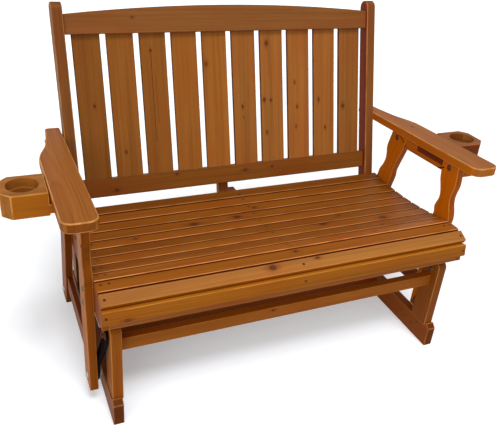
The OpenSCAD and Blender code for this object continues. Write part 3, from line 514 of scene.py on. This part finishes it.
# Boards by the way they run, with the body and the slot they belong to. Stains and edges are 0 to 255.
sides = ("left", "right")
corners = ("front_left", "front_right", "rear_left", "rear_right")
boardGroups = [
    {"nodes": [f"runner_{s}" for s in sides], "body": "base", "slot": "base_wood", "way": "deep",
     "ease": 0.0024, "red": 0.3, "edgeWearAndLightStrength": 0.3, "endReach": 0.4},
    {"nodes": [f"base_post_{c}" for c in corners], "body": "base", "slot": "base_wood", "way": "tall",
     "ease": 0.0022, "stain": (144, 80, 12), "red": 0.2, "edgeWearAndLightStrength": 0.4, "narrow": 0.25},
    # base rails: the lighter side colour on top and bottom is painted light
    {"nodes": ["base_rail_front", "base_rail_rear", "base_rail_centre"], "body": "base",
     "slot": "base_wood", "way": "wideUpright", "ease": 0.0012, "stain": (147, 83, 17), "red": 0.2,
     "round": True, "narrow": 1.0, "sideShadeAndLight": (1.3, 1.1, 0.4)},
    # seat rails: the end colour above 1 is painted light on their cut ends
    {"nodes": ["seat_rail_left", "seat_rail_middle", "seat_rail_right", "seat_cleats"], "body": "bench",
     "slot": "seat_wood", "way": "deep", "ease": 0.0012, "stain": (122, 60, 10), "red": 0.2,
     "endGrainAndLight": (1.4, 1.6, 2.0)},
    {"nodes": ["seat_apron"], "body": "bench", "slot": "seat_wood", "way": "wideUpright",
     "ease": 0.0015, "stain": (149, 88, 36), "red": 0.2},
    # front slat: the lighter side colour on its top and bottom is a painted highlight
    {"nodes": ["front_slat"], "body": "bench", "slot": "seat_wood", "way": "wideUpright",
     "ease": 0.0012, "stain": (141, 81, 13), "red": 0.14, "round": True, "narrow": 1.0,
     "sideShadeAndLight": (1.7, 2.0, 2.2)},
    # nose slat: the darker side colour is painted shade
    {"nodes": ["nose_slat"], "body": "bench", "slot": "seat_wood", "way": "wideNose",
     "ease": 0.0016, "stain": (160, 103, 45), "red": 0.14, "round": True, "narrow": 1.0,
     "sideShadeAndLight": (0.89, 0.65, 0.1)},
    # seat slats: the light edge colour is a painted highlight on the front edges with some real wear, and the
    # dark side colour on sides and rear edges is painted shade in the gaps
    {"nodes": [f"seat_slat_{i}" for i in range(1, 11)], "body": "bench", "slot": "seat_wood",
     "way": "wide", "ease": 0.0018, "stain": (140, 79, 18), "red": 0.16, "edge": (216, 142, 86),
     "edgeWearAndLightStrength": 0.85, "round": True, "narrow": 0.95, "sideShadeAndLight": (0.4, 0.15, 0.05), "shadedRearEdges": True},
    # back posts: the dark red side colour on the inner faces is painted shade
    {"nodes": [f"back_post_{s}" for s in sides], "body": "bench", "slot": "back_wood", "way": "post",
     "ease": 0.003, "stain": (119, 71, 31), "red": 0.25, "narrow": 0.9, "sideShadeAndLight": (0.98, 0.34, 0.0),
     "shadedInnerFaces": True},
    # crest and lower back rail: their dark edge colour is painted shade along the edges
    {"nodes": ["crest_rail", "lower_back_rail"], "body": "bench", "slot": "back_wood", "way": "wideBack",
     "ease": 0.002, "stain": (130, 80, 37), "red": 0.2, "edge": (92, 48, 20), "edgeWearAndLightStrength": 0.8,
     "round": True},
    {"nodes": ["back_brace"], "body": "bench", "slot": "back_wood", "way": "back", "ease": 0.002,
     "stain": (129, 71, 27), "red": 0.2},
    # back slats: the dark edge colour and dark side colour are painted shade between the slats
    {"nodes": [f"back_slats_{s}" for s in sides], "body": "bench", "slot": "back_wood", "way": "back",
     "ease": 0.0016, "stain": (140, 84, 30), "red": 0.16, "edge": (58, 28, 12), "edgeWearAndLightStrength": 0.85,
     "pitch": 0.105, "narrow": 0.9, "round": True},
    # legs: the bright stain of the right legs against the darker stains of the left legs below is painted
    # light and shade on one wood, and the darker narrow sides are painted shade
    {"nodes": [f"leg_front_{s}" for s in sides], "body": "bench", "slot": "leg_wood", "way": "tall",
     "ease": 0.0024, "stain": (198, 103, 2), "red": 0.08, "narrow": 0.5},
    {"nodes": [f"leg_rear_{s}" for s in sides], "body": "bench", "slot": "leg_wood", "way": "rearLeg",
     "ease": 0.0024, "stain": (190, 101, 2), "red": 0.08, "narrow": 0.5},
    # side stretchers: the darker side colour is painted shade
    {"nodes": [f"side_stretcher_{s}" for s in sides], "body": "bench", "slot": "leg_wood", "way": "deep",
     "ease": 0.002, "stain": (117, 58, 14), "red": 0.16, "edgeWearAndLightStrength": 0.3, "narrow": 1.0,
     "sideShadeAndLight": (0.85, 0.6, 0.2)},
    # armrests: the light edge colour is wear with a painted highlight
    {"nodes": [f"armrest_{s}" for s in sides], "body": "bench", "slot": "arm_wood", "way": "arm",
     "ease": 0.0034, "stain": (148, 87, 30), "red": 0.12, "edge": (222, 156, 92), "edgeWearAndLightStrength": 0.7,
     "narrow": 1.0},
    {"nodes": [f"arm_apron_{s}" for s in sides] + [f"arm_bearer_{s}" for s in sides], "body": "bench",
     "slot": "arm_wood", "way": "armSide", "ease": 0.002, "stain": (182, 98, 12), "red": 0.12},
    {"nodes": [f"cup_holder_{s}" for s in sides], "body": "bench", "slot": "arm_wood", "way": "wide",
     "ease": 0.0028, "narrow": 1.0, "well": (0.7255, -0.0901, 0.0435)},
]
boardDefaults = {  # what the rows above leave out
    # the light edge colour is wear with a painted highlight
    "edge": (214, 146, 78),
    "edgeWearAndLightStrength": 0.5,
    "narrow": 0.0,  # how strongly the narrow sides take the side tint
    # the dark side colour: painted shade on narrow sides
    "sideShadeAndLight": (0.3, 0.17, 0.12),
    "endGrainAndLight": (0.82, 0.82, 0.82),
    "endReach": 0.8,
    "round": False,
    "shadedRearEdges": False,
    "shadedInnerFaces": False,
    "well": (0, 0, 0),  # x to either side and y of a well's middle, and its reach
    "pitch": 0,  # of several boards in one node
    "plankTones": (),  # what each of them adds to the tone, from left to right
    "tone": 1.0,
    "knots": (),  # along and across from the board's middle, and half a knot's width
    "cracks": (),  # from and to along the board, place across it, and half its width
}

# What sets a board apart from the rest of its group
boardDetails = {
    "runner_left": {"stain": (114, 61, 17), "endGrainAndLight": (0.62, 0.62, 0.5)},
    "runner_right": {"stain": (140, 70, 10), "endGrainAndLight": (0.44, 0.5, 0.42)},
    # the right base posts' and the centre rail's darker stains are painted shade under the bench
    "base_post_front_right": {"stain": (126, 67, 12)},
    "base_post_rear_right": {"stain": (126, 67, 12)},
    "base_rail_centre": {"stain": (115, 54, 6)},
    "front_slat": {"knots": [(-0.52, -0.014, 0.0056)]},
    "nose_slat": {"knots": [(-0.097, 0.006, 0.0078), (0.05, 0.012, 0.0036)]},
    "seat_slat_1": {"tone": 1.17, "knots": [(0.002, 0.008, 0.0046)]},
    "seat_slat_2": {"tone": 1.2},
    "seat_slat_3": {"tone": 0.88},
    "seat_slat_4": {"tone": 1.06, "knots": [(0.184, 0.016, 0.0078), (0.404, -0.005, 0.009)]},
    "seat_slat_5": {"tone": 0.87},
    "seat_slat_6": {"knots": [(-0.418, 0.005, 0.0046)]},
    "seat_slat_7": {"tone": 0.93, "knots": [(-0.218, -0.007, 0.0082), (-0.066, 0.0, 0.0076)]},
    "seat_slat_8": {"tone": 0.88, "knots": [(0.017, -0.006, 0.0056)]},
    "seat_slat_9": {"tone": 0.88},
    "seat_slat_10": {"tone": 0.72},
    "back_post_left": {"knots": [(0.165, 0.0, 0.0044), (0.019, 0.0, 0.006)]},
    "crest_rail": {"knots": [(-0.326, 0.006, 0.003)]},
    "lower_back_rail": {
        "stain": (123, 71, 21),
        "knots": [
            (-0.419, -0.012, 0.005), (-0.210, 0.020, 0.0044), (0.043, 0.008, 0.005), (0.148, 0.010, 0.0034),
        ],
    },
    # the left slats' plank tones, darker towards the left arm, are painted shade
    "back_slats_left": {
        "plankTones": (-0.26, -0.12, 0.0, 0.12, 0.22),
        "knots": [
            (0.008, -0.202, 0.0034), (-0.147, -0.113, 0.0036),
            (0.173, -0.009, 0.0034), (0.124, 0.178, 0.0056),
        ],
        "cracks": [(-0.12, 0.165, -0.008, 0.0014), (-0.06, 0.1, 0.004, 0.0008)],
    },
    # the right slats' lighter stain is painted light, and their last plank's darker tone by the right arm is
    # painted shade
    "back_slats_right": {
        "stain": (148, 91, 38),
        "plankTones": (0.0, 0.08, 0.02, 0.05, -0.12),
        "knots": [
            (-0.026, -0.219, 0.0034), (-0.063, -0.217, 0.002), (0.185, -0.123, 0.0056),
            (-0.008, -0.136, 0.0044), (-0.010, -0.110, 0.0034), (-0.123, -0.128, 0.0036),
            (0.047, -0.015, 0.003), (-0.040, -0.006, 0.0034), (-0.111, -0.011, 0.003),
            (-0.020, 0.083, 0.0034), (-0.124, 0.110, 0.0034), (-0.049, 0.186, 0.0056),
        ],
    },
    # the left legs' darker stains: painted shade, against the right legs' painted light
    "leg_front_left": {"stain": (157, 85, 6)},
    "leg_rear_left": {"stain": (122, 60, 5)},
    # the left armrest's darker side and end colours and the right one's lighter ones are painted shade and
    # painted light
    "armrest_left": {"sideShadeAndLight": (0.8, 0.68, 0.45), "endGrainAndLight": (0.66, 0.55, 0.32)},
    "armrest_right": {"sideShadeAndLight": (1.6, 1.3, 0.3), "endGrainAndLight": (1.1, 1.1, 0.85)},
    # the left cup holder's lighter stain, side and end colours and edge, and the right one's darker ones, are
    # painted light and painted shade on one wood
    "cup_holder_left": {
        "stain": (156, 97, 36), "red": 0.06, "edge": (226, 158, 78), "edgeWearAndLightStrength": 0.75,
        "sideShadeAndLight": (1.17, 1.0, 0.3), "endGrainAndLight": (0.64, 0.5, 0.18),
    },
    "cup_holder_right": {
        "stain": (128, 76, 28), "red": 0.3, "edge": (168, 108, 66), "edgeWearAndLightStrength": 0.6,
        "sideShadeAndLight": (0.64, 0.36, 0.1), "endGrainAndLight": (0.32, 0.22, 0.1),
    },
}
toneRange = (0.94, 1.06)
firstSeed = 100

seed = firstSeed
for group in boardGroups:
    for node in group["nodes"]:
        seed += 1
        settings = {**boardDefaults, **group, **boardDetails.get(node, {})}
        low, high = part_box(node)
        centre = (low + high) / 2
        board = easedCopy(node, settings, centre.x)
        knots = settings["knots"] or plainKnots(seed, group["way"], low, high)
        tone = random.Random(seed).uniform(*toneRange) * settings["tone"]
        board.data.materials.append(woodFinish(node + "_wood", settings, centre, seed, tone, knots))
        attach(board, group["body"])
        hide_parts(node)
print("boards made:", seed - firstSeed)

# Metal: black arms, plated bolts and screws, the dark plate
metalLook = {
    "black": {"colour": shade(7, 5, 5), "scratch": shade(18, 16, 16), "metallic": 0.0, "roughness": 0.6,
              "specular": 0.04},
    "zinc": {"colour": shade(170, 168, 162), "scratch": shade(110, 102, 92), "metallic": 1.0,
             "roughness": 0.36, "specular": 0.5},
    "dull": {"colour": shade(124, 100, 76), "scratch": shade(66, 46, 32), "metallic": 0.8,
             "roughness": 0.42, "specular": 0.4},
    "bronze": {"colour": shade(96, 50, 26), "scratch": shade(168, 118, 88), "metallic": 0.25,
               "roughness": 0.45, "specular": 0.2},
    "screw": {"colour": shade(66, 34, 16), "scratch": shade(120, 84, 54), "metallic": 0.15,
              "roughness": 0.45, "specular": 0.2},
    "plate": {"colour": shade(116, 46, 14), "scratch": shade(70, 28, 10), "metallic": 0.0,
              "roughness": 0.5, "specular": 0.1},
}
metalWear = {
    "cloudScale": 60.0,
    "cloudDetail": 3.0,
    "cloudShare": 0.6,
    "speckScale": 900.0,
    "range": (0.5, 0.68),
    "strength": 0.5,
    "speckRoughness": 0.2,
    "bumpStrength": 0.3,
    "bumpDistance": 0.0001,
}


def metalFinish(name, look):
    finish = Finish(bpy.data.materials.new(name))
    place = finish.add("TexCoord", out="Object")
    cloud = finish.noise(place, metalWear["cloudScale"], metalWear["cloudDetail"])
    speck = finish.noise(place, metalWear["speckScale"])
    share = metalWear["cloudShare"]
    mark = finish.between(cloud * share + speck * (1 - share), metalWear["range"])
    colour = finish.mixColour(mark * metalWear["strength"], look["colour"], look["scratch"])
    roughness = look["roughness"] + (speck - 0.5) * metalWear["speckRoughness"]
    bump = {"Strength": metalWear["bumpStrength"], "Distance": metalWear["bumpDistance"], "Height": speck}
    return finish.surface(
        colour, roughness, finish.add("Bump", None, bump), Metallic=look["metallic"],
        Specular_IOR_Level=look["specular"],
    )


metals = {name: metalFinish(name + "_metal", look) for name, look in metalLook.items()}
metalNodes = {f"swing_arm_{corner}": "black" for corner in corners}
metalNodes.update({
    "base_pivot_bolts": "bronze", "base_pivot_nuts": "bronze", "bench_pivot_bolts": "zinc",
    "bench_pivot_nuts": "zinc", "leg_bolts": "dull", "arm_bolts": "bronze",
    "base_screws": "screw", "bench_screws": "screw", "arm_plate": "plate",
})
for node, metal in metalNodes.items():
    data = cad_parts[node].data
    data.materials.clear()
    data.materials.append(metals[metal])
print("metal parts finished:", len(metalNodes))

# The camera, solved from the photograph's edges
cameraSetup = {
    "place": Vector((-0.8034, -1.6417, 1.4416)),
    "forward": Vector((0.3764, 0.7871, -0.4887)),
    "up": Vector((0.1302, 0.4774, 0.8690)),
    "sensor": 36,
    "lens": 45.05,
}
bpy.ops.object.camera_add()
camera = bpy.context.object
camera.name = "photo_camera"
camera.data.sensor_fit = "HORIZONTAL"
camera.data.sensor_width = cameraSetup["sensor"]
camera.data.lens = cameraSetup["lens"]
forward = cameraSetup["forward"].normalized()
right = forward.cross(cameraSetup["up"]).normalized()
columns = (right, right.cross(forward), -forward)
camera.matrix_world = Matrix.Translation(cameraSetup["place"]) @ Matrix(columns).transposed().to_4x4()
bpy.context.scene.camera = camera

# White surroundings that light the object less than they show, and two soft lamps
white = (1, 1, 1, 1)
surroundings = {"light": 0.44, "seen": 1.0}
lampSetup = {
    "key": {"energy": 1.55, "angle": 20, "towards": Vector((-0.02, 0.46, -1.0))},
    "side": {"energy": 1.05, "angle": 50, "towards": Vector((0.7, 0.75, -0.3))},
}
studio = Finish(bpy.data.worlds.new("studio"))
bpy.context.scene.world = studio.owner
dim = studio.add("Background", None, {"Color": white, "Strength": surroundings["light"]})
bright = studio.add("Background", None, {"Color": white, "Strength": surroundings["seen"]})
shown = studio.add("MixShader", None, {0: studio.seenDirectly(), 1: dim, 2: bright})
studio.add("OutputWorld", None, {"Surface": shown})

for name, lamp in lampSetup.items():
    bpy.ops.object.light_add(type="SUN")
    sun = bpy.context.object
    sun.name = name + "_lamp"
    sun.data.energy = lamp["energy"]
    sun.data.angle = math.radians(lamp["angle"])
    sun.rotation_mode = "QUATERNION"
    sun.rotation_quaternion = lamp["towards"].to_track_quat("-Z", "Y")

# Pale floor that keeps the object's shadow
floorSetup = {"size": 60, "colour": (0.838, 0.86, 0.888, 1), "glow": 0.26}
bpy.ops.mesh.primitive_plane_add(size=floorSetup["size"])
floor = bpy.context.object
floor.name = "studio_floor"
floorFinish = Finish(bpy.data.materials.new("floor_white"))
matte = floorFinish.add("BsdfDiffuse", None, {"Color": floorSetup["colour"], "Roughness": 1.0})
glow = floorFinish.add("Emission", None, {"Color": white, "Strength": floorSetup["glow"]})
lit = floorFinish.add("AddShader", None, {0: matte, 1: glow})
shown = floorFinish.add("MixShader", None, {0: floorFinish.seenDirectly(), 1: matte, 2: lit})
floorFinish.add("OutputMaterial", None, {"Surface": shown})
floor.data.materials.append(floorFinish.owner)

bpy.context.scene.view_settings.view_transform = "Standard"
print("camera, lamps and floor set")
